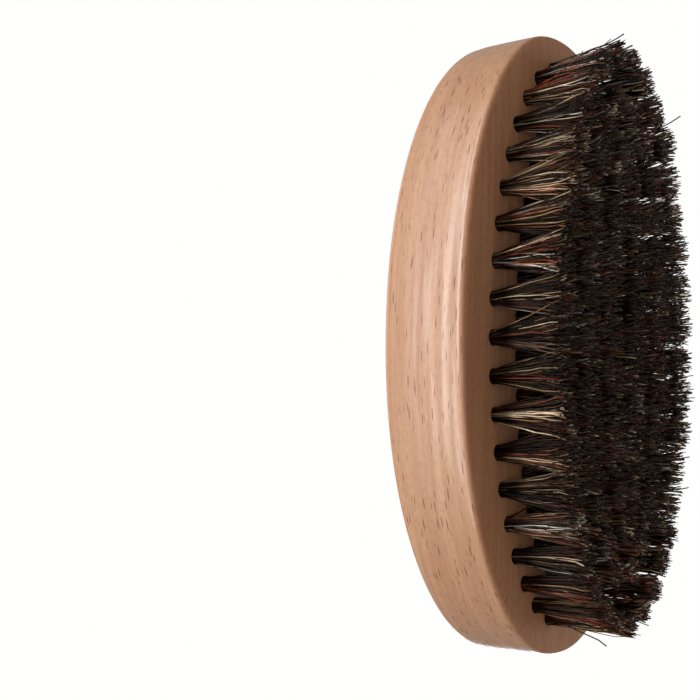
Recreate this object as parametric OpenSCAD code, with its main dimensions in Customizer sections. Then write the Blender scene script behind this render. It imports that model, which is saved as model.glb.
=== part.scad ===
// Oval beard brush for the palm of the hand. A one-piece beech block carries three rings
// of bristle tufts. Each tuft is folded in half, set in a blind hole and held there by a
// flat wire anchor across its fold.
// The brush rests on its trimmed tips: +X runs along the block, +Z points out of its back,
// and the origin is in the middle of the plane of the tips. All sizes are in millimetres.

/* [Block] */
// Length of the block, along X
block_length = 112; // [110:1:125]
// Width of the block, along Y
block_width = 62.6; // [61:0.2:72]
// Power of the superellipse outline: 2 is an ellipse, and more is squarer
outline_power = 2.13; // [2:0.01:2.6]
// Thickness of the block in the middle of its length
block_height = 17.3; // [16:0.1:24]
// Thickness of the block at its two ends
end_height = 14.8; // [13:0.1:15.5]
// How far the top of the side wall leans in
wall_lean = 0.4; // [0:0.1:1.5]
// Radius of the rounded edge around the back
back_edge_r = 2.4; // [1:0.1:4]
// Radius of the eased edge around the bristle face
face_edge_r = 0.9; // [0.3:0.1:1.5]

/* [Tufts] */
// Length of bristle that stands out of the block, from face to trimmed tips
bristle_length = 14.5; // [10:0.5:18]
// Diameter of a tuft where it leaves its hole
tuft_root_d = 2.7; // [2.2:0.05:2.75]
// Diameter of a tuft at its trimmed tips
tuft_tip_d = 4.6; // [3:0.1:4.6]
// Lean in degrees of the tufts at the two ends of the block, away from its middle
end_lean = 2; // [0:1:16]

/* [Drilling] */
// Diameter of a tuft hole
hole_d = 2.8; // [2.8:0.05:3.2]
// Depth of a tuft hole
hole_depth = 8; // [6:0.5:10]
// Half the length of the outer ring of holes
ring_half_length = 49.8; // [49.5:0.1:50.5]
// Half the width of the outer ring of holes
ring_half_width = 21.9; // [21.9:0.1:24.4]
// Distance from one ring to the next, along X
ring_step_x = 8.3; // [7:0.1:8.5]
// Distance from one ring to the next, along Y
ring_step_y = 8.6; // [8.3:0.1:8.6]
// Number of holes in the outer ring
outer_count = 38; // [30:1:38]
// Number of holes in the second ring
second_count = 28; // [22:1:29]
// Number of holes in the third ring
third_count = 20; // [14:2:20]
// How much closer the holes stand at the ends of the outer ring than along its sides: 0 is even
end_crowding = 0.3; // [0:0.01:0.3]
// How much closer they stand at the -X end than at the +X end: 0 is alike
end_bias = 0.05; // [0:0.01:0.05]

/* [Anchors] */
// Thickness of the anchor's flat wire
anchor_t = 0.35; // [0.2:0.05:0.5]
// Width of the anchor's flat wire, along the hole
anchor_w = 1.6; // [1:0.1:2]
// How far each end of an anchor bites into the wall of its hole
anchor_bite = 0.35; // [0.2:0.05:0.5]
// Height of the fold of the bristles under the anchor
fold_height = 1.3; // [0.8:0.1:1.6]

/* [Hidden] */
GAP = 0.03;                     // clearance between an anchor and what it sits in
OUTLINE_POINTS = 80;            // corners of the block's outline
TRACE_STEP = 2;                 // degrees between the points that measure a ring's length
TUFTS_PER_NODE = 4;             // neighbouring tufts that share a node
RING_NAMES = ["outer", "second", "third"];
RINGS = [0 : len(RING_NAMES) - 1];
RING_STARTS = [0.5, 0.5, 0];    // place of each ring's first hole past the +X end, in holes
ring_counts = [outer_count, second_count, third_count];
face_z = bristle_length;        // height of the bristle face above the tips
untrimmed = bristle_length * 1.5;
anchor_length = hole_d + 2 * anchor_bite;
back_sag = block_height - end_height;
back_arc_r = (pow(block_length / 2, 2) + pow(back_sag, 2)) / (2 * back_sag);

// ---- Outline and skin of the block ----

function signed_power(v, p) = sign(v) * pow(abs(v), p);

// Point of the outline at an angle, on a superellipse that is `inset` smaller all round
function outline_point(angle, inset) = [
    (block_length / 2 - inset) * signed_power(cos(angle), 2 / outline_power),
    (block_width / 2 - inset) * signed_power(sin(angle), 2 / outline_power)
];

// Thickness of the block at a distance along X: the back is one long shallow arc
function thickness(x) = block_height - back_arc_r + sqrt(pow(back_arc_r, 2) - x * x);

// Levels of the skin, from the bristle face to the back, each as
// [inset from the outline, share of the local thickness, height added to that share]
face_levels = [for (a = [0 : 30 : 90])
    [face_edge_r * (1 - sin(a)), 0, face_edge_r * (1 - cos(a))]];
wall_levels = [for (share = [0.4, 0.6]) [wall_lean * share * share, share, 0]];
back_levels = [for (a = [0 : 18 : 90])
    [wall_lean + back_edge_r * (1 - cos(a)), 1, back_edge_r * (sin(a) - 1)]];
crown_levels = [for (share = [0.25, 0.5, 0.75])
    [wall_lean + back_edge_r + share * block_width / 2, 1, 0]];
levels = concat(face_levels, wall_levels, back_levels, crown_levels);

function skin_ring(level) = [
    for (i = [0 : OUTLINE_POINTS - 1])
        let (p = outline_point(i * 360 / OUTLINE_POINTS, level[0]))
            [p.x, p.y, level[1] * thickness(p.x) + level[2]]
];

module block_skin() {
    n = OUTLINE_POINTS;
    top = len(levels) - 1;
    polyhedron(
        points = [for (level = levels) each skin_ring(level)],
        faces = concat(
            [[for (i = [0 : n - 1]) i]],
            [for (l = [0 : top - 1], i = [0 : n - 1])
                let (j = (i + 1) % n)
                    [l * n + i, (l + 1) * n + i, (l + 1) * n + j, l * n + j]],
            [for (i = [0 : n / 2 - 2])
                [top * n + i + 1, top * n + i, top * n + n - 1 - i, top * n + n - 2 - i]]
        )
    );
}

// ---- Places of the tufts ----

function ring_half(ring) = [
    ring_half_length - ring * ring_step_x,
    ring_half_width - ring * ring_step_y
];

function ellipse_point(half, angle) = [half.x * cos(angle), half.y * sin(angle)];

// Pairs of [distance along the ellipse, angle]
function trace(half) = [
    for (a = 0, s = 0; a <= 360;
         s = s + norm(ellipse_point(half, a + TRACE_STEP) - ellipse_point(half, a)),
         a = a + TRACE_STEP)
        [s, a]
];

// Pairs of [share of the ring's holes passed, angle]. Inner rings crowd and lean to -X less
function progress(half) =
    let (
        table = trace(half),
        around = table[len(table) - 1][0],
        share = half.y / ring_half_width,
        crowding = share * end_crowding,
        bias = share * end_bias * 180 / PI
    )
    [for (p = table)
        [(1 - crowding) * p[0] / around + (crowding * p[1] - bias * sin(p[1])) / 360, p[1]]];

function places(ring) =
    let (half = ring_half(ring), count = ring_counts[ring], table = progress(half))
    [for (i = [0 : count - 1])
        ellipse_point(half, lookup((i + RING_STARTS[ring]) / count, table))];

all_places = [for (ring = RINGS) places(ring)];

function groups(ring) = [0 : ceil(ring_counts[ring] / TUFTS_PER_NODE) - 1];

function node_name(kind, ring, group) = str(kind, "_", RING_NAMES[ring], "_", group + 1);

function lean(place) = end_lean * place.x / ring_half_length;

// Puts its children at one tuft's root, with +Z along the tuft towards its tips
module at_place(place) {
    translate([place.x, place.y, face_z])
        rotate([180, 0, 0])
            rotate([0, lean(place), 0])
                children();
}

module at_group(ring, group) {
    first = group * TUFTS_PER_NODE;
    last = min(first + TUFTS_PER_NODE, ring_counts[ring]) - 1;
    for (i = [first : last])
        at_place(all_places[ring][i])
            children();
}

// ---- One tuft, its hole and its anchor, about the tuft's own axis ----

module hole() {
    translate([0, 0, -hole_depth])
        cylinder(h = hole_depth + 1, d = hole_d, $fn = 48);
}

module anchor_bar(grow) {
    translate([0, 0, fold_height + anchor_w / 2 - hole_depth])
        cube([anchor_t + 2 * grow, anchor_length + 2 * grow, anchor_w + 2 * grow], center = true);
}

module tuft() {
    difference() {
        rotate_extrude($fn = 32)
            polygon([
                [0, -hole_depth],
                [tuft_root_d / 2, -hole_depth],
                [tuft_root_d / 2, 0],
                [tuft_tip_d / 2, bristle_length],
                [tuft_tip_d / 2, untrimmed],
                [0, untrimmed]
            ]);
        anchor_bar(GAP);
    }
}

// ---- Pieces ----

module block() {
    color("tan")
        difference() {
            translate([0, 0, face_z])
                block_skin();
            for (ring = RINGS, place = all_places[ring])
                at_place(place) {
                    hole();
                    anchor_bar(GAP);
                }
        }
}

module tufts(ring, group) {
    color("#2b211b")
        intersection() {
            at_group(ring, group)
                tuft();
            translate([-block_length, -block_width, 0])
                cube([2 * block_length, 2 * block_width, face_z + block_height]);
        }
}

module anchors(ring, group) {
    color("silver")
        at_group(ring, group)
            anchor_bar(0);
}

// ---- Assembly ----

block();
for (ring = RINGS, group = groups(ring)) {
    tufts(ring, group);
    anchors(ring, group);
}
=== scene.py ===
"""Looks of the oval beard brush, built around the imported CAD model. Metres, +Z out of the wooden back.

The CAD block is redrawn with smooth curves and real bored holes, and each CAD tuft becomes loose
bristles that fold round its anchor, leave the hole and spread to the trimmed plane.
"""
import math

import bpy
import numpy as np
from mathutils import Matrix, Vector
from mathutils.geometry import delaunay_2d_cdt


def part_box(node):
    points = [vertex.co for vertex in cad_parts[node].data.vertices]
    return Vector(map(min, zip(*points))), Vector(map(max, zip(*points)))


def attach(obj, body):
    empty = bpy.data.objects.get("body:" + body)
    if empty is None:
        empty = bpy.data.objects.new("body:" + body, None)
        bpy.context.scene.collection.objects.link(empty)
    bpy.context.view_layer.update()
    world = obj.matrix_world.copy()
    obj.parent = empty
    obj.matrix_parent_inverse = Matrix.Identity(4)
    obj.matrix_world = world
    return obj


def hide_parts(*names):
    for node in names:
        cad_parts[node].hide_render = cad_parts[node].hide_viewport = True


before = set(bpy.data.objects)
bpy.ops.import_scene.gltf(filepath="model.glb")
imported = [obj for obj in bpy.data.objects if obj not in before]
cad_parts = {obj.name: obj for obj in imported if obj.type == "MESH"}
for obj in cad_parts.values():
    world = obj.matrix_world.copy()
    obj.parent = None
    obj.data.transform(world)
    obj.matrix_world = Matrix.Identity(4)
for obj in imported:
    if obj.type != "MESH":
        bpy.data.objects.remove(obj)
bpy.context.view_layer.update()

MM = 0.001
BODY = "root"

# ---- Sizes that the CAD model's boxes don't give ----
OUTLINE_POWER = 2.13            # superellipse power of the block's outline
BACK_SAG = 2.5 * MM             # how far the back falls from its middle to its ends
WALL_LEAN = 0.4 * MM            # how far the top of the side wall leans in
BACK_EDGE_R = 2.4 * MM
FACE_EDGE_R = 0.9 * MM
HOLE_R = 1.4 * MM
HOLE_DEPTH = 8.0 * MM
HOLE_EASE = 0.12 * MM           # small break on each hole's rim
ROOT_R = 1.35 * MM              # radius of a tuft at its root
FOLD_HEIGHT = 1.3 * MM          # from the bottom of the hole to the anchor
ANCHOR_W = 1.6 * MM
ANCHOR_SIDE = 0.30 * MM         # how far a folded bristle stands off the anchor's middle

BLOCK_LOW, BLOCK_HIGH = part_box("block")
HALF_L = (BLOCK_HIGH.x - BLOCK_LOW.x) / 2
HALF_W = (BLOCK_HIGH.y - BLOCK_LOW.y) / 2
FACE_Z = BLOCK_LOW.z
BLOCK_H = BLOCK_HIGH.z - BLOCK_LOW.z
BACK_ARC_R = (HALF_L ** 2 + BACK_SAG ** 2) / (2 * BACK_SAG)


# ---- Meshes ----

def new_piece(name, verts, faces, material, smooth_angle=None):
    mesh = bpy.data.meshes.new(name)
    mesh.from_pydata(verts, [], faces)
    mesh.polygons.foreach_set("use_smooth", [True] * len(mesh.polygons))
    if smooth_angle is not None:
        mesh.set_sharp_from_angle(angle=smooth_angle)
    mesh.materials.append(material)
    piece = bpy.data.objects.new(name, mesh)
    bpy.context.collection.objects.link(piece)
    return piece


class Skin:
    """Points and faces of one closed mesh, added ring by ring."""

    def __init__(self):
        self.verts = []
        self.faces = []

    def add(self, points):
        first = len(self.verts)
        self.verts.extend(tuple(p) for p in points)
        return list(range(first, len(self.verts)))

    def bridge(self, ring, other):
        """Quads between two rings of the same length, outside to the right of ring."""
        n = len(ring)
        for i in range(n):
            j = (i + 1) % n
            self.faces.append((ring[i], ring[j], other[j], other[i]))


# ---- Tufts, read from the CAD nodes ----

FACE_BAND = 0.4 * MM            # points this close to the bristle face are at a tuft's root
BOTTOM_BAND = 0.8 * MM          # points this close to the bottom of a hole are at its foot
TUFT_REACH = 3.2 * MM           # all the points of one root, or of one foot, lie within this distance
DECIMALS = 7                    # of a metre, to which two points of a tuft are the same


def centres(points, reach):
    """Centre of each group of points that lie within reach of the group's first point."""
    found = []
    while len(points):
        near = np.linalg.norm(points - points[0], axis=1) < reach
        found.append(points[near].mean(axis=0))
        points = points[~near]
    return found


def read_tufts(node):
    """(root, direction towards the tips) of each tuft in a CAD node, root on the bristle face."""
    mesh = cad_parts[node].data
    points = np.array([v.co for v in mesh.vertices], float)
    points = np.unique(points.round(DECIMALS), axis=0)
    collar = points[np.abs(points[:, 2] - FACE_Z) < FACE_BAND]
    deep = points[points[:, 2] > FACE_Z + HOLE_DEPTH - BOTTOM_BAND]
    roots = centres(collar, TUFT_REACH)
    bottoms = centres(deep, TUFT_REACH)
    tufts = []
    for root in roots:
        bottom = min(bottoms, key=lambda b: np.linalg.norm(b[:2] - root[:2]))
        axis = root - bottom
        tufts.append((root, axis / np.linalg.norm(axis)))
    return tufts


TUFT_NODES = sorted(
    (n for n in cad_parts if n.startswith("tufts_")),
    key=lambda n: (n.split("_")[1], int(n.split("_")[2])),
)
TUFTS = {node: read_tufts(node) for node in TUFT_NODES}


def ring_of(node):
    return node.split("_")[1]


def room_round(node, root):
    """Mean distance from a tuft's root to the two nearest roots of its own ring."""
    ring = [r for other in TUFT_NODES if ring_of(other) == ring_of(node) for r, _ in TUFTS[other]]
    gaps = np.sort(np.linalg.norm(np.array(ring) - root, axis=1))
    return gaps[1:3].mean()


def tuft_sides(axis):
    """Two unit vectors across a tuft: the first in the plane of its lean, the second along Y."""
    across = np.cross([0.0, 1.0, 0.0], -axis)
    across /= np.linalg.norm(across)
    return across, np.cross(-axis, across)


def across_tuft(axis, offsets):
    """Offsets (u, v) across a tuft, as vectors in space."""
    across, along_y = tuft_sides(axis)
    return offsets[:, :1] * across + offsets[:, 1:] * along_y


# ---- Block ----

OUTLINE_POINTS = 320
RIM_POINTS = 28
FACE_STRIP = 0.4 * MM           # flat strip between the face's eased edge and the part with the holes
WALL_SHARES = (0.15, 0.3, 0.45, 0.6, 0.72)  # heights of the side wall's rings, over the local thickness
CROWN_RINGS = 14                # rings between the back's rounded edge and its middle
CROWN_END = 0.5 * MM            # half the width that the last of them leaves
SHARP_ANGLE = math.radians(35)
SAME_POINT = 1e-7               # two corners of the face this close are one


def signed_power(value, power):
    return math.copysign(abs(value) ** power, value)


def outline(inset):
    """The block's outline, inset all round, as a list of (x, y)."""
    points = []
    for i in range(OUTLINE_POINTS):
        angle = 2 * math.pi * i / OUTLINE_POINTS
        x = (HALF_L - inset) * signed_power(math.cos(angle), 2 / OUTLINE_POWER)
        y = (HALF_W - inset) * signed_power(math.sin(angle), 2 / OUTLINE_POWER)
        points.append((x, y))
    return points


def thickness(x):
    return BLOCK_H - BACK_ARC_R + math.sqrt(BACK_ARC_R ** 2 - x * x)


def skin_levels():
    """(inset, share of the local thickness, height added) from the face to the middle of the back."""
    quarter = [math.radians(a) for a in range(0, 91, 10)]
    levels = [(FACE_EDGE_R * (1 - math.sin(a)), 0, FACE_EDGE_R * (1 - math.cos(a))) for a in quarter]
    levels += [(WALL_LEAN * s * s, s, 0) for s in WALL_SHARES]
    levels += [
        (WALL_LEAN + BACK_EDGE_R * (1 - math.cos(a)), 1, BACK_EDGE_R * (math.sin(a) - 1))
        for a in quarter
    ]
    start = WALL_LEAN + BACK_EDGE_R
    run = HALF_W - CROWN_END - start
    levels += [(start + run * k / CROWN_RINGS, 1, 0) for k in range(1, CROWN_RINGS + 1)]
    return levels


def hole_point(root, axis, turn, radius, depth):
    """A point at a depth under the face, on a cylinder about a tuft's axis."""
    across, along_y = tuft_sides(axis)
    side = radius * (math.cos(turn) * across + math.sin(turn) * along_y)
    to_face = side[2] / axis[2]
    return root + side - axis * (depth + to_face)


def hole_ring(root, axis, radius, depth):
    turns = [2 * math.pi * i / RIM_POINTS for i in range(RIM_POINTS)]
    return [hole_point(root, axis, t, radius, depth) for t in turns]


def bore_hole(skin, root, axis):
    """Adds a hole's wall and bottom, and returns the ring where it meets the flat face."""
    rings = [
        skin.add(hole_ring(root, axis, HOLE_R + ease, depth))
        for ease, depth in (
            (HOLE_EASE * 2, 0),
            (HOLE_EASE, 0),
            (HOLE_EASE * 0.3, HOLE_EASE * 0.3),
            (0, HOLE_EASE),
            (0, HOLE_DEPTH * 0.5),
            (0, HOLE_DEPTH),
        )
    ]
    for ring, deeper in zip(rings, rings[1:]):
        skin.bridge(deeper, ring)
    skin.faces.append(tuple(rings[-1]))
    return rings[0]


def fill_face(skin, border, holes):
    """Triangles of the flat face between its border and the holes' rims."""
    loops = [border] + holes
    index = [i for loop in loops for i in loop]
    place = {v: k for k, v in enumerate(index)}
    flat = [Vector(skin.verts[i][:2]) for i in index]
    polygons = [[place[i] for i in loop] for loop in loops]
    _, _, faces, sources, _, loops_round = delaunay_2d_cdt(flat, [], polygons, 1, SAME_POINT)
    for face, inside in zip(faces, loops_round):
        if inside == [0]:
            corners = [index[sources[c][0]] for c in face]
            a, b, c = (Vector(skin.verts[i]) for i in corners)
            if (b - a).cross(c - a).z > 0:
                corners.reverse()
            skin.faces.append(tuple(corners))


def build_block(material):
    skin = Skin()
    border = skin.add((x, y, FACE_Z) for x, y in outline(FACE_EDGE_R + FACE_STRIP))
    previous = border
    for inset, share, added in skin_levels():
        ring = skin.add(
            (x, y, FACE_Z + share * thickness(x) + added) for x, y in outline(inset)
        )
        skin.bridge(previous, ring)
        previous = ring
    n = OUTLINE_POINTS
    for i in range(n // 2 - 1):
        skin.faces.append((previous[i], previous[i + 1], previous[n - 2 - i], previous[n - 1 - i]))
    holes = [bore_hole(skin, *tuft) for tufts in TUFTS.values() for tuft in tufts]
    fill_face(skin, border, holes)
    block = new_piece("beech_block", skin.verts, skin.faces, material, SHARP_ANGLE)
    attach(block, BODY)
    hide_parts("block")


# ---- Bristles ----

STRANDS = 165                   # bristle ends in one tuft
STRAND_SIDES = 3
STRAND_R = 0.105 * MM
GIRTHS = (0.75, 1.0, 1.25, 1.7)                 # radii of single strands, over STRAND_R
GIRTH_SHARES = (0.30, 0.35, 0.25, 0.10)
TAPER = (0.9, 1.0, 1.0)         # radius in the fold, just above the face and at the cut end
ROOT_JITTER = 0.02 * MM
GOLDEN_TURN = math.pi * (3 - math.sqrt(5))
SEED = 4581

# How a tuft spreads towards its tips
LOCKS = 9                       # its bristles part into this many locks
LOCK_SPREAD = 0.62 * ROOT_R     # standard deviation of the locks' middles at the root
LOCK_PULL = 0.24 * MM           # how far each lock's tips are pulled aside
HELD_BACK = 2.2 * MM            # the tips fill the room round the tuft, less this much
END_GAP = 0.75 * MM             # and less this much more at the two ends of the block
TUFT_SPREAD = (0.93, 1.07)      # from one tuft to the next
STRAND_SPREAD = (0.86, 1.04)    # from one strand to the next
LOOSE = 0.20 * MM               # how far a strand stands from its place at the tips
STRAY_TIMES = (1.0, 5.0, 14.0)  # a few strands stand this many times further
STRAY_SHARES = (0.952, 0.034, 0.014)
STRAY_MAX = 4.0 * MM

# How far short of the trimmed plane the strands end
TUFT_CUT = (0.16 * MM, 0.24 * MM)               # middle and standard deviation over the tufts
LOCK_CUT = 0.05 * MM
STRAND_CUT = 0.06 * MM
CUT_SHORT = (0.0, 1.2 * MM, 3.0 * MM)           # a few strands are shorter by this
CUT_SHORT_SHARES = (0.92, 0.06, 0.02)
CUT_LIMITS = (0.03 * MM, 6 * MM)

# The curve of a strand
KNOTS = (0.06, 0.22, 0.40, 0.58, 0.74, 0.88, 1.0)   # its points, as shares of its length above the face
FLARE = 1.15                    # power by which it leaves the tuft's axis
BEND = 0.30 * MM                # bow in the middle of its length
CRIMP = 0.21 * MM               # side-to-side wave near the tips
WAVES = (1.3, 2.6)              # number of waves along its length
FOLD_HALF = 0.05 * MM           # half the gap between its two legs at the bottom of the fold
FOLD_DEPTH = HOLE_DEPTH - 0.35 * MM
BESIDE_DEPTH = HOLE_DEPTH - FOLD_HEIGHT - 0.3 * ANCHOR_W
MOUTH_DEPTH = 0.2 * MM
FOLD_WIDTH, BESIDE_WIDTH = 0.8, 0.9             # of the root's width, in the fold and beside the anchor


def strand_roots(rng):
    """Evenly packed places of the strands inside a tuft's root, as offsets across it."""
    k = np.arange(STRANDS) + 0.5
    radius = (ROOT_R - STRAND_R) * np.sqrt(k / STRANDS)
    turn = k * GOLDEN_TURN + rng.uniform(0, 2 * math.pi)
    offsets = np.stack([radius * np.cos(turn), radius * np.sin(turn)], axis=1)
    return offsets + rng.normal(0, ROOT_JITTER, offsets.shape)


def strand_locks(offsets, rng):
    """The number of the lock that each strand belongs to."""
    middles = rng.normal(0, LOCK_SPREAD, (LOCKS, 2))
    return np.linalg.norm(offsets[:, None] - middles[None], axis=2).argmin(axis=1)


def strand_tips(offsets, lock, room, rng):
    """The strands' places at the tips, as offsets across the tuft."""
    pull = rng.normal(0, LOCK_PULL, (LOCKS, 2))[lock]
    stray = rng.choice(STRAY_TIMES, (STRANDS, 1), p=STRAY_SHARES)
    loose = (rng.normal(0, LOOSE, (STRANDS, 2)) * stray).clip(-STRAY_MAX, STRAY_MAX)
    wider = room / ROOT_R * rng.uniform(*TUFT_SPREAD)
    return offsets * wider * rng.uniform(*STRAND_SPREAD, (STRANDS, 1)) + pull + loose


def strand_cuts(lock, rng):
    """How far short of the trimmed plane each strand ends."""
    own = np.abs(rng.normal(0, STRAND_CUT, STRANDS))
    own += rng.choice(CUT_SHORT, STRANDS, p=CUT_SHORT_SHARES)
    level = rng.normal(*TUFT_CUT) + rng.normal(0, LOCK_CUT, LOCKS)[lock]
    return np.clip(level + own, *CUT_LIMITS)


def points_in_hole(root, axis, offsets):
    """Points of the strands in the fold, beside the anchor and in the mouth of the hole."""
    leg = np.sign(offsets[:, 0])
    apart = np.maximum(np.abs(offsets[:, 0]), ANCHOR_SIDE)
    fold = np.stack([leg * FOLD_HALF, offsets[:, 1] * FOLD_WIDTH], axis=1)
    beside = np.stack([leg * apart, offsets[:, 1] * BESIDE_WIDTH], axis=1)
    return [
        root + across_tuft(axis, uv) - axis * depth
        for uv, depth in ((fold, FOLD_DEPTH), (beside, BESIDE_DEPTH), (offsets, MOUTH_DEPTH))
    ]


def strand_paths(root, axis, room, rng):
    """Centre lines of a tuft's strands as (strand, point, xyz), and each strand's lock."""
    offsets = strand_roots(rng)
    lock = strand_locks(offsets, rng)
    tips = strand_tips(offsets, lock, room, rng)
    cut = strand_cuts(lock, rng)
    bend = rng.normal(0, BEND, (STRANDS, 2))
    wave_turn = rng.uniform(0, 2 * math.pi, (STRANDS, 2))
    wave_rate = rng.uniform(*WAVES, (STRANDS, 1)) * 2 * math.pi

    def across_at(t):
        wave = CRIMP * t ** 2 * np.sin(wave_rate * t + wave_turn)
        sway = bend * math.sin(math.pi * t) + wave
        return across_tuft(axis, offsets + (tips - offsets) * t ** FLARE + sway)

    length = (FACE_Z + across_at(1.0)[:, 2] - cut) / -axis[2]
    above = [root + across_at(t) + axis * (length * t)[:, None] for t in KNOTS]
    return np.stack(points_in_hole(root, axis, offsets) + above, axis=1), lock


def tube_points(paths, rng):
    """Corners of three-sided tubes about the paths, as (strand, knot, side, xyz)."""
    count, knots, _ = paths.shape
    run = np.gradient(paths, axis=1)
    run /= np.linalg.norm(run, axis=2, keepdims=True)
    u = np.cross(run, np.array([0.0, 1.0, 0.0]))
    u /= np.linalg.norm(u, axis=2, keepdims=True)
    v = np.cross(run, u)
    taper = np.interp(np.arange(knots), [0, knots - len(KNOTS), knots - 1], TAPER)
    girth = rng.choice(GIRTHS, (count, 1, 1), p=GIRTH_SHARES)
    radius = STRAND_R * girth * taper[None, :, None]
    rings = []
    for k in range(STRAND_SIDES):
        turn = 2 * math.pi * k / STRAND_SIDES
        rings.append(paths + radius * (math.cos(turn) * u + math.sin(turn) * v))
    return np.stack(rings, axis=2)


def tube_faces(count, knots):
    """Faces of all the tubes: quads along each, and a cap at each end."""
    s = STRAND_SIDES
    first = (np.arange(count) * knots * s)[:, None, None]
    ring = (np.arange(knots - 1) * s)[None, :, None]
    side = np.arange(s)[None, None, :]
    a = first + ring + side
    b = first + ring + (side + 1) % s
    quads = np.stack([a, b, b + s, a + s], axis=-1)
    starts = first[:, 0, 0]
    low = np.stack([starts + 2, starts + 1, starts], axis=1)
    high = starts[:, None] + (knots - 1) * s + np.arange(s)
    return quads.reshape(-1, 4).tolist() + low.tolist() + high.tolist()


LOCK_SHARE = 0.24               # share of the strands that take their lock's shade
SHADE_POWERS = (0.6, 1.5)       # from a tuft with more pale strands to one with more dark ones


def strand_shades(lock, rng):
    """A number from 0 to 1 for each strand, which its material turns into a colour."""
    shared = rng.random(LOCKS)[lock]
    own = rng.random(len(lock)) ** rng.uniform(*SHADE_POWERS)
    follows = rng.random(len(lock)) < LOCK_SHARE
    return np.where(follows, shared, own)


def build_bristles(node, material, seed):
    rng = np.random.default_rng(seed)
    corners, shades = [], []
    for root, axis in TUFTS[node]:
        held = HELD_BACK + END_GAP * (root[0] / HALF_L) ** 2
        paths, lock = strand_paths(root, axis, room_round(node, root) - held, rng)
        corners.append(tube_points(paths, rng))
        shades.append(strand_shades(lock, rng))
    corners = np.concatenate(corners)
    shades = np.concatenate(shades)
    count, knots, sides, _ = corners.shape
    name = node.replace("tufts", "bristles")
    piece = new_piece(name, corners.reshape(-1, 3).tolist(), tube_faces(count, knots), material)
    along = np.broadcast_to(np.linspace(0, 1, knots)[None, :, None], (count, knots, sides))
    for label, values in (
        ("shade", np.repeat(shades, knots * sides)),
        ("along", along.ravel()),
    ):
        piece.data.attributes.new(label, "FLOAT", "POINT").data.foreach_set("value", values)
    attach(piece, BODY)
    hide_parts(node)


# ---- Materials ----

MIX_A, MIX_B, MIXED = 6, 7, 2   # places of the colour sockets of a Mix node


class Shader:
    """A new material's node tree, with short calls that add and join its nodes."""

    def __init__(self, name):
        self.material = bpy.data.materials.new(name)
        self.material.use_nodes = True
        self.tree = self.material.node_tree
        self.principled = self.tree.nodes["Principled BSDF"]

    def node(self, kind, inputs=None, **settings):
        made = self.tree.nodes.new("ShaderNode" + kind)
        for key, value in settings.items():
            setattr(made, key, value)
        for key, value in (inputs or {}).items():
            self.put(value, made.inputs[key])
        return made

    def put(self, value, socket):
        if isinstance(value, bpy.types.NodeSocket):
            self.tree.links.new(value, socket)
        else:
            socket.default_value = value

    def math(self, operation, a, b=0.0):
        return self.node("Math", {0: a, 1: b}, operation=operation).outputs[0]

    def vector(self, operation, a, b):
        return self.node("VectorMath", {0: a, 1: b}, operation=operation).outputs[0]

    def grey(self, tone):
        return self.node("CombineColor", {0: tone, 1: tone, 2: tone}).outputs[0]

    def ramp(self, value, low, high, to_low=0.0, to_high=1.0):
        """value from low..high to to_low..to_high, smoothly and clamped."""
        made = self.node("MapRange", {
            "Value": value, "From Min": low, "From Max": high, "To Min": to_low, "To Max": to_high,
        }, interpolation_type="SMOOTHSTEP")
        return made.outputs["Result"]

    def mix(self, factor, a, b, blend="MIX"):
        made = self.node("Mix", {"Factor": factor}, data_type="RGBA", blend_type=blend)
        self.put(a, made.inputs[MIX_A])
        self.put(b, made.inputs[MIX_B])
        return made.outputs[MIXED]

    def point_mm(self):
        """The place on the object, in millimetres."""
        coords = self.node("TexCoord").outputs["Object"]
        return self.vector("MULTIPLY", coords, (1 / MM, 1 / MM, 1 / MM))

    def stretched(self, point, size):
        """Coordinates in which one unit is `size` millimetres along each axis."""
        return self.vector("DIVIDE", point, size)

    def noise(self, point, size, detail=2.0, roughness=0.5):
        """Noise with features of about `size` millimetres along each axis."""
        made = self.node("TexNoise", {
            "Vector": self.stretched(point, size),
            "Scale": 1.0,
            "Detail": detail,
            "Roughness": roughness,
        })
        return made.outputs["Fac"]

    def finish(self, **values):
        for key, value in values.items():
            self.put(value, self.principled.inputs[key])
        return self.material


# Beech, in linear colour. A tone multiplies the colour of the wood
BEECH_LIGHT = (0.600, 0.330, 0.174, 1)
BEECH_MID = (0.530, 0.272, 0.137, 1)
BEECH_ROSE = (0.490, 0.240, 0.138, 1)
BEECH_DEEP = (0.400, 0.188, 0.093, 1)
FLECK_TONE = (0.48, 0.32, 0.22, 1)
GRAIN_TONE = (0.78, 0.70, 0.66, 1)
FLAT_SHADE_TONE = (0.94, 0.85, 0.80, 1)       # painted shade: the back and the bristle face are darker and deeper than the side wall

# Sizes in mm along the grain and across it
PORE_SIZE = (2.2, 0.26, 0.26)
LARGE_FLECK = (5.6, 1.15, 1.15)
SMALL_FLECK = (2.8, 0.60, 0.60)
DASH = (4.2, 0.50, 0.50)                # the short dark dashes round the side wall
FLECK_CELLS = 0.85                      # share of the cells that hold a fleck, some of them faint
LARGE_DEPTH, SMALL_DEPTH = 0.78, 0.42   # how much of its tone a fleck takes
FACE_DEPTH = 0.35                       # and how much of that is left on the bristle face
BOW = 0.008                             # the rays bend sideways by this much times x squared, in mm
BOW_MIDDLE = 5.0                        # x in mm at which they run straight along the brush
TURN_MM = 46.0                          # length of outline in mm for one radian about the middle
BUMP_HEIGHT = 0.06 * MM
WALL_SMOOTHER = 0.16                    # how much less rough the side wall is than the flats


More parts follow.
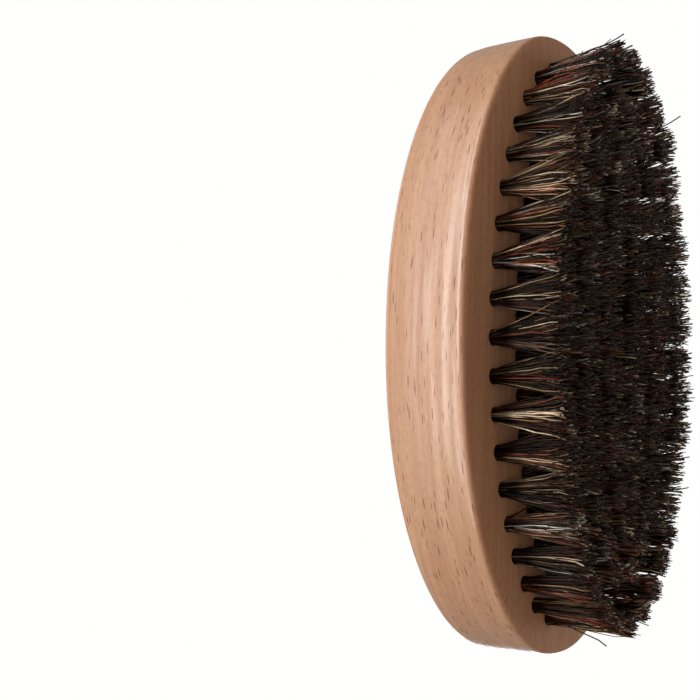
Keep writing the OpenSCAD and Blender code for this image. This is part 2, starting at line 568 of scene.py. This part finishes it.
def fleck_mask(sh, point, size, reach):
    """Short spindles along the grain: 1 inside one, 0 outside. reach is the widest's width, in cells."""
    cells = sh.node("TexVoronoi", {"Vector": sh.stretched(point, size), "Scale": 1.0, "Randomness": 1.0})
    chance = sh.node("SeparateColor", {"Color": cells.outputs["Color"]}).outputs
    width = sh.ramp(chance[0], 0, 1, reach * 0.6, reach)
    inside = sh.math("DIVIDE", cells.outputs["Distance"], width)
    soft = sh.ramp(inside, 0.65, 1.0, 1, 0)
    present = sh.ramp(chance[1], 1 - FLECK_CELLS, 1 - FLECK_CELLS + 0.3)
    return sh.math("MULTIPLY", soft, present)


def from_middle(sh, parts):
    """x and y as shares of the block's half sizes, and the distance from the middle that they make."""
    x = sh.math("DIVIDE", parts[0], HALF_L / MM)
    y = sh.math("DIVIDE", parts[1], HALF_W / MM)
    squares = sh.math("ADD", sh.math("MULTIPLY", x, x), sh.math("MULTIPLY", y, y))
    return x, y, sh.math("SQRT", squares)


def round_the_outline(sh, parts):
    """Coordinates in mm that run round the block's outline, across it, and up."""
    x, y, distance = from_middle(sh, parts)
    turn = sh.math("MULTIPLY", sh.math("ARCTAN2", y, x), TURN_MM)
    across = sh.math("MULTIPLY", distance, HALF_W / MM)
    return sh.node("CombineXYZ", {0: turn, 1: across, 2: parts[2]}).outputs[0]


def along_the_rays(sh, parts):
    """Coordinates in mm that run along the bowed rays, across them, and up."""
    along = sh.math("SUBTRACT", parts[0], BOW_MIDDLE)
    bow = sh.math("MULTIPLY", sh.math("MULTIPLY", along, along), BOW)
    across = sh.math("ADD", parts[1], bow)
    return sh.node("CombineXYZ", {0: parts[0], 1: across, 2: parts[2]}).outputs[0]


def beech_tones(sh, point, around, side, mottle, pores):
    """The wood's colour without its flecks: broad bands, rosy stripes, mottle, fine lines and pores."""
    bands = sh.mix(side, sh.noise(point, (110, 9, 9), 2), sh.noise(around, (55, 40, 3.2), 2))
    stripes = sh.mix(side, sh.noise(point, (35, 1.3, 1.3), 2), sh.noise(around, (22, 9, 0.9), 3, 0.6))
    lines = sh.noise(point, (45, 0.35, 0.35), 2, 0.6)
    wood = sh.mix(sh.ramp(bands, 0.30, 0.70), BEECH_MID, BEECH_LIGHT)
    wood = sh.mix(sh.ramp(stripes, 0.38, 0.66, 0.0, 0.75), wood, BEECH_ROSE)
    wood = sh.mix(sh.ramp(mottle, 0.40, 0.75, 0.0, 0.30), wood, BEECH_DEEP)
    wood = sh.mix(sh.ramp(lines, 0.50, 0.78, 0.0, 0.60), wood, GRAIN_TONE, "MULTIPLY")
    return sh.mix(sh.ramp(pores, 0.56, 0.74, 0.0, 0.75), wood, GRAIN_TONE, "MULTIPLY")


def beech_flecks(sh, rays, around, facing, side):
    """Ray flecks: spindles on the back, fainter ones on the bristle face, dashes round the side wall."""
    large = sh.math("MULTIPLY", fleck_mask(sh, rays, LARGE_FLECK, 0.29), LARGE_DEPTH)
    small = sh.math("MULTIPLY", fleck_mask(sh, rays, SMALL_FLECK, 0.31), SMALL_DEPTH)
    dashes = fleck_mask(sh, around, DASH, 0.30)
    upper = sh.ramp(facing, -0.1, 0.1, FACE_DEPTH, 1.0)
    flat = sh.math("MULTIPLY", sh.math("MAXIMUM", large, small), upper)
    return sh.math("ADD", flat, sh.math("MULTIPLY", side, sh.math("SUBTRACT", dashes, flat)))


def beech():
    sh = Shader("beech")
    point = sh.point_mm()
    parts = sh.node("SeparateXYZ", {0: point}).outputs
    rays = along_the_rays(sh, parts)
    around = round_the_outline(sh, parts)
    facing = sh.node("SeparateXYZ", {0: sh.node("TexCoord").outputs["Normal"]}).outputs[2]
    side = sh.ramp(sh.math("ABSOLUTE", facing), 0.45, 0.70, 1.0, 0.0)

    mottle = sh.noise(point, (1.1, 0.8, 0.8), 3, 0.6)
    pores = sh.mix(side, sh.noise(rays, PORE_SIZE, 2, 0.55), sh.noise(around, PORE_SIZE, 2, 0.55))
    flecks = beech_flecks(sh, rays, around, facing, side)
    wood = beech_tones(sh, point, around, side, mottle, pores)
    wood = sh.mix(flecks, wood, FLECK_TONE, "MULTIPLY")
    # Painted shade: the back and the bristle face take a darker tone than the side wall.
    wood = sh.mix(sh.math("SUBTRACT", 1.0, side), wood, FLAT_SHADE_TONE, "MULTIPLY")

    height = sh.math("SUBTRACT", sh.math("MULTIPLY", pores, -0.5), flecks)
    bump = sh.node("Bump", {"Strength": 0.35, "Distance": BUMP_HEIGHT, "Height": height})
    rough = sh.ramp(mottle, 0.3, 0.8, 0.60, 0.70)
    polish = sh.noise(around, (24, 1.1, 1.1), 3, 0.6)
    return sh.finish(**{
        "Base Color": wood,
        "Roughness": sh.math("ADD", rough, sh.math("MULTIPLY", side, -WALL_SMOOTHER)),
        "Specular IOR Level": sh.ramp(side, 0.0, 1.0, 0.25, 0.50),
        "Normal": bump.outputs[0],
        "Coat Weight": sh.math("MULTIPLY", side, sh.ramp(polish, 0.35, 0.68, 0.15, 1.0)),
        "Coat Roughness": 0.17,
    })


# Bristle colours, in linear colour, each after the shade at which it starts
BRISTLE_COLOURS = [
    (0.00, (0.0060, 0.0040, 0.0030, 1)),
    (0.34, (0.0150, 0.0090, 0.0065, 1)),
    (0.50, (0.0500, 0.0200, 0.0110, 1)),
    (0.62, (0.2400, 0.0480, 0.0260, 1)),
    (0.73, (0.1200, 0.0680, 0.0400, 1)),
    (0.82, (0.3800, 0.2200, 0.1100, 1)),
    (0.91, (0.6600, 0.5000, 0.3200, 1)),
    (0.96, (0.5600, 0.5700, 0.5200, 1)),
]
# Painted shade on the bristle tips, deepest in the middle of the brush.
TIP_SHADE_COLOUR = (0.024, 0.011, 0.007, 1)


def strand_colour(sh, shade):
    """The colour that a strand's shade stands for."""
    made = sh.node("ValToRGB", {"Fac": shade})
    stops = made.color_ramp
    stops.interpolation = "CONSTANT"
    while len(stops.elements) < len(BRISTLE_COLOURS):
        stops.elements.new(0.5)
    for element, (place, colour) in zip(stops.elements, BRISTLE_COLOURS):
        element.position = place
        element.color = colour
    return made.outputs["Color"]


def tip_shade(sh, point, along, shade):
    """How far a strand's tips take a painted shade: most in the middle of the brush, where the bristle
    mass is in shade, less at its rim.
    """
    parts = sh.node("SeparateXYZ", {0: point}).outputs
    distance = from_middle(sh, parts)[2]
    lot = sh.node("TexWhiteNoise", {"W": shade}, noise_dimensions="1D").outputs["Value"]
    inner = sh.ramp(distance, 0.58, 0.80, 1.0, 0.42)
    most = sh.math("MULTIPLY", inner, sh.ramp(lot, 0.70, 0.85, 0.92, 0.20))
    return sh.math("MULTIPLY", sh.ramp(along, 0.80, 0.96), most)


def bristle():
    sh = Shader("boar_bristle")
    point = sh.point_mm()
    shade = sh.node("Attribute", attribute_name="shade").outputs["Fac"]
    along = sh.node("Attribute", attribute_name="along").outputs["Fac"]
    streak = sh.ramp(sh.noise(point, (0.8, 0.8, 2.5), 2), 0.3, 0.7, 0.65, 1.25)
    patch = sh.ramp(sh.noise(point, (4.5, 4.5, 40), 1), 0.35, 0.65, 0.60, 1.45)
    # Painted shade: strands get darker towards the bristle face and inside the hole, where the tuft
    # crowds.
    depth = sh.ramp(along, 0.22, 0.62, 0.30, 1.0)
    tone = sh.math("MULTIPLY", depth, sh.math("MULTIPLY", streak, patch))
    colour = sh.mix(1.0, strand_colour(sh, shade), sh.grey(tone), "MULTIPLY")
    return sh.finish(**{
        # The tips take a painted shade, most in the middle of the brush.
        "Base Color": sh.mix(tip_shade(sh, point, along, shade), colour, TIP_SHADE_COLOUR),
        "Roughness": 0.38,
        "Specular IOR Level": 0.24,
        "Specular Tint": (1.0, 0.82, 0.68, 1),
    })


STEEL_DARK = (0.50, 0.50, 0.48, 1)
STEEL_LIGHT = (0.68, 0.68, 0.66, 1)


def anchor_steel():
    sh = Shader("anchor_steel")
    drawn = sh.noise(sh.point_mm(), (0.05, 3.0, 0.05), 3)
    return sh.finish(**{
        "Base Color": sh.mix(drawn, STEEL_DARK, STEEL_LIGHT),
        "Metallic": 1.0,
        "Roughness": sh.ramp(drawn, 0.2, 0.8, 0.28, 0.48),
    })


def dress_anchors(material):
    for name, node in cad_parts.items():
        if name.startswith("anchors_"):
            for slot in node.material_slots:
                slot.material = material


# ---- Camera, floor and light ----

EYE_DISTANCE = 0.300
EYE_SIDE = math.radians(29.9)   # how far the eye is round from the side wall to the bristle face
EYE_LEAN = math.radians(7.1)    # how far it is towards the -X end
AIM_ACROSS, AIM_UP = -0.0379, -0.0021   # where it aims, beside the middle of the bristle face
CAMERA_ROLL = math.radians(-0.45)
LENS_MM = 84.6
CLIP_START = 0.01

FLOOR_HALF = 3.0
FADE_MM = (180, 900)            # distances over which the floor fades to plain white
PAPER = (0.80, 0.82)            # its darkest and its palest tone

AMBIENT_COLOUR = (1.0, 0.99, 0.98, 1)
AMBIENT_STRENGTH = 0.32
BACKDROP_COLOUR = (1, 0.997, 0.99, 1)   # what the camera sees behind the brush


def eye_direction():
    level = Vector((0, -math.cos(EYE_SIDE), -math.sin(EYE_SIDE)))
    return level * math.cos(EYE_LEAN) - Vector((math.sin(EYE_LEAN), 0, 0))


def build_camera():
    """The eye is under the level of the tips, with the length of the brush upright in its picture."""
    toward = eye_direction()
    up = (Vector((1, 0, 0)) - toward * toward.x).normalized()
    right = up.cross(toward)
    middle = Vector((0, 0, FACE_Z))
    eye = middle + toward * EYE_DISTANCE
    back = (eye - middle - right * AIM_ACROSS - up * AIM_UP).normalized()
    level = up.cross(back).normalized()
    upright = back.cross(level)
    level, upright = (
        level * math.cos(CAMERA_ROLL) - upright * math.sin(CAMERA_ROLL),
        upright * math.cos(CAMERA_ROLL) + level * math.sin(CAMERA_ROLL),
    )
    data = bpy.data.cameras.new("camera")
    data.lens = LENS_MM
    data.clip_start = CLIP_START
    camera = bpy.data.objects.new("camera", data)
    turned = Matrix((level, upright, back)).transposed().to_4x4()
    camera.matrix_world = Matrix.Translation(eye) @ turned
    bpy.context.collection.objects.link(camera)
    bpy.context.scene.camera = camera


def floor_paper():
    """Pale paper that fades to plain white, is seen only from above and stands in no light's way."""
    sh = Shader("floor_paper")
    point = sh.point_mm()
    away = sh.node("VectorMath", {0: point}, operation="LENGTH").outputs["Value"]
    glow = sh.ramp(away, *FADE_MM)
    tone = sh.ramp(sh.noise(point, (30, 30, 30), 2), 0.3, 0.7, *PAPER)
    tone = sh.math("MULTIPLY", tone, sh.math("SUBTRACT", 1.0, glow))
    paper = sh.finish(**{
        "Base Color": sh.grey(tone),
        "Roughness": 0.8,
        "Emission Color": (1, 1, 1, 1),
        "Emission Strength": glow,
    })
    below = sh.node("NewGeometry").outputs["Backfacing"]
    unseen = sh.math("SUBTRACT", 1.0, sh.node("LightPath").outputs["Is Camera Ray"])
    clear = sh.node("BsdfTransparent").outputs[0]
    hidden = sh.math("MAXIMUM", below, unseen)
    both = sh.node("MixShader", {0: hidden, 1: sh.principled.outputs[0], 2: clear})
    sh.put(both.outputs[0], sh.tree.nodes["Material Output"].inputs["Surface"])
    return paper


def build_floor():
    h = FLOOR_HALF
    corners = [(-h, -h, 0), (h, -h, 0), (h, h, 0), (-h, h, 0)]
    floor = new_piece("floor", corners, [(0, 1, 2, 3)], floor_paper())


def add_softbox(name, direction, distance, size, watts):
    """An area light that faces the middle of the brush."""
    data = bpy.data.lights.new(name, "AREA")
    data.shape = "RECTANGLE"
    data.size, data.size_y = size
    data.energy = watts
    light = bpy.data.objects.new(name, data)
    toward = Vector(direction).normalized()
    light.location = Vector((0, 0, FACE_Z)) + toward * distance
    light.rotation_mode = "QUATERNION"
    light.rotation_quaternion = (-toward).to_track_quat("-Z", "X")
    bpy.context.collection.objects.link(light)


def build_world():
    """Even light from all round, behind a plain white backdrop that only the camera sees."""
    world = bpy.data.worlds.new("studio")
    world.use_nodes = True
    tree = world.node_tree
    ambient = tree.nodes["Background"]
    ambient.inputs["Color"].default_value = AMBIENT_COLOUR
    ambient.inputs["Strength"].default_value = AMBIENT_STRENGTH
    backdrop = tree.nodes.new("ShaderNodeBackground")
    backdrop.inputs["Color"].default_value = BACKDROP_COLOUR
    seen = tree.nodes.new("ShaderNodeLightPath")
    mix = tree.nodes.new("ShaderNodeMixShader")
    tree.links.new(seen.outputs["Is Camera Ray"], mix.inputs[0])
    tree.links.new(ambient.outputs[0], mix.inputs[1])
    tree.links.new(backdrop.outputs[0], mix.inputs[2])
    tree.links.new(mix.outputs[0], tree.nodes["World Output"].inputs["Surface"])
    bpy.context.scene.world = world
    bpy.context.scene.view_settings.view_transform = "Standard"


def build_softboxes():
    """A tall narrow strip gives the sheen along the side wall, and the others fill."""
    add_softbox("strip", (0.09, -0.862, 0.492), distance=0.60, size=(0.13, 1.15), watts=3.8)
    add_softbox("key", (0.75, -0.60, 0.35), distance=0.90, size=(0.50, 0.50), watts=1.2)
    add_softbox("front", (-0.15, -0.80, -0.60), distance=0.90, size=(0.40, 0.40), watts=1.1)
    add_softbox("far", (0.0, 1.0, -0.45), distance=0.90, size=(0.50, 0.50), watts=1.3)
    add_softbox("top", (0.2, 0.3, 1.0), distance=0.90, size=(0.50, 0.50), watts=1.2)
    add_softbox("back", (-0.2, 1.0, 0.5), distance=0.90, size=(0.50, 0.50), watts=2.6)


# ---- Assembly ----

build_camera()
build_floor()
build_world()
build_softboxes()
build_block(beech())
boar = bristle()
for number, node in enumerate(TUFT_NODES):
    build_bristles(node, boar, SEED + number)
dress_anchors(anchor_steel())
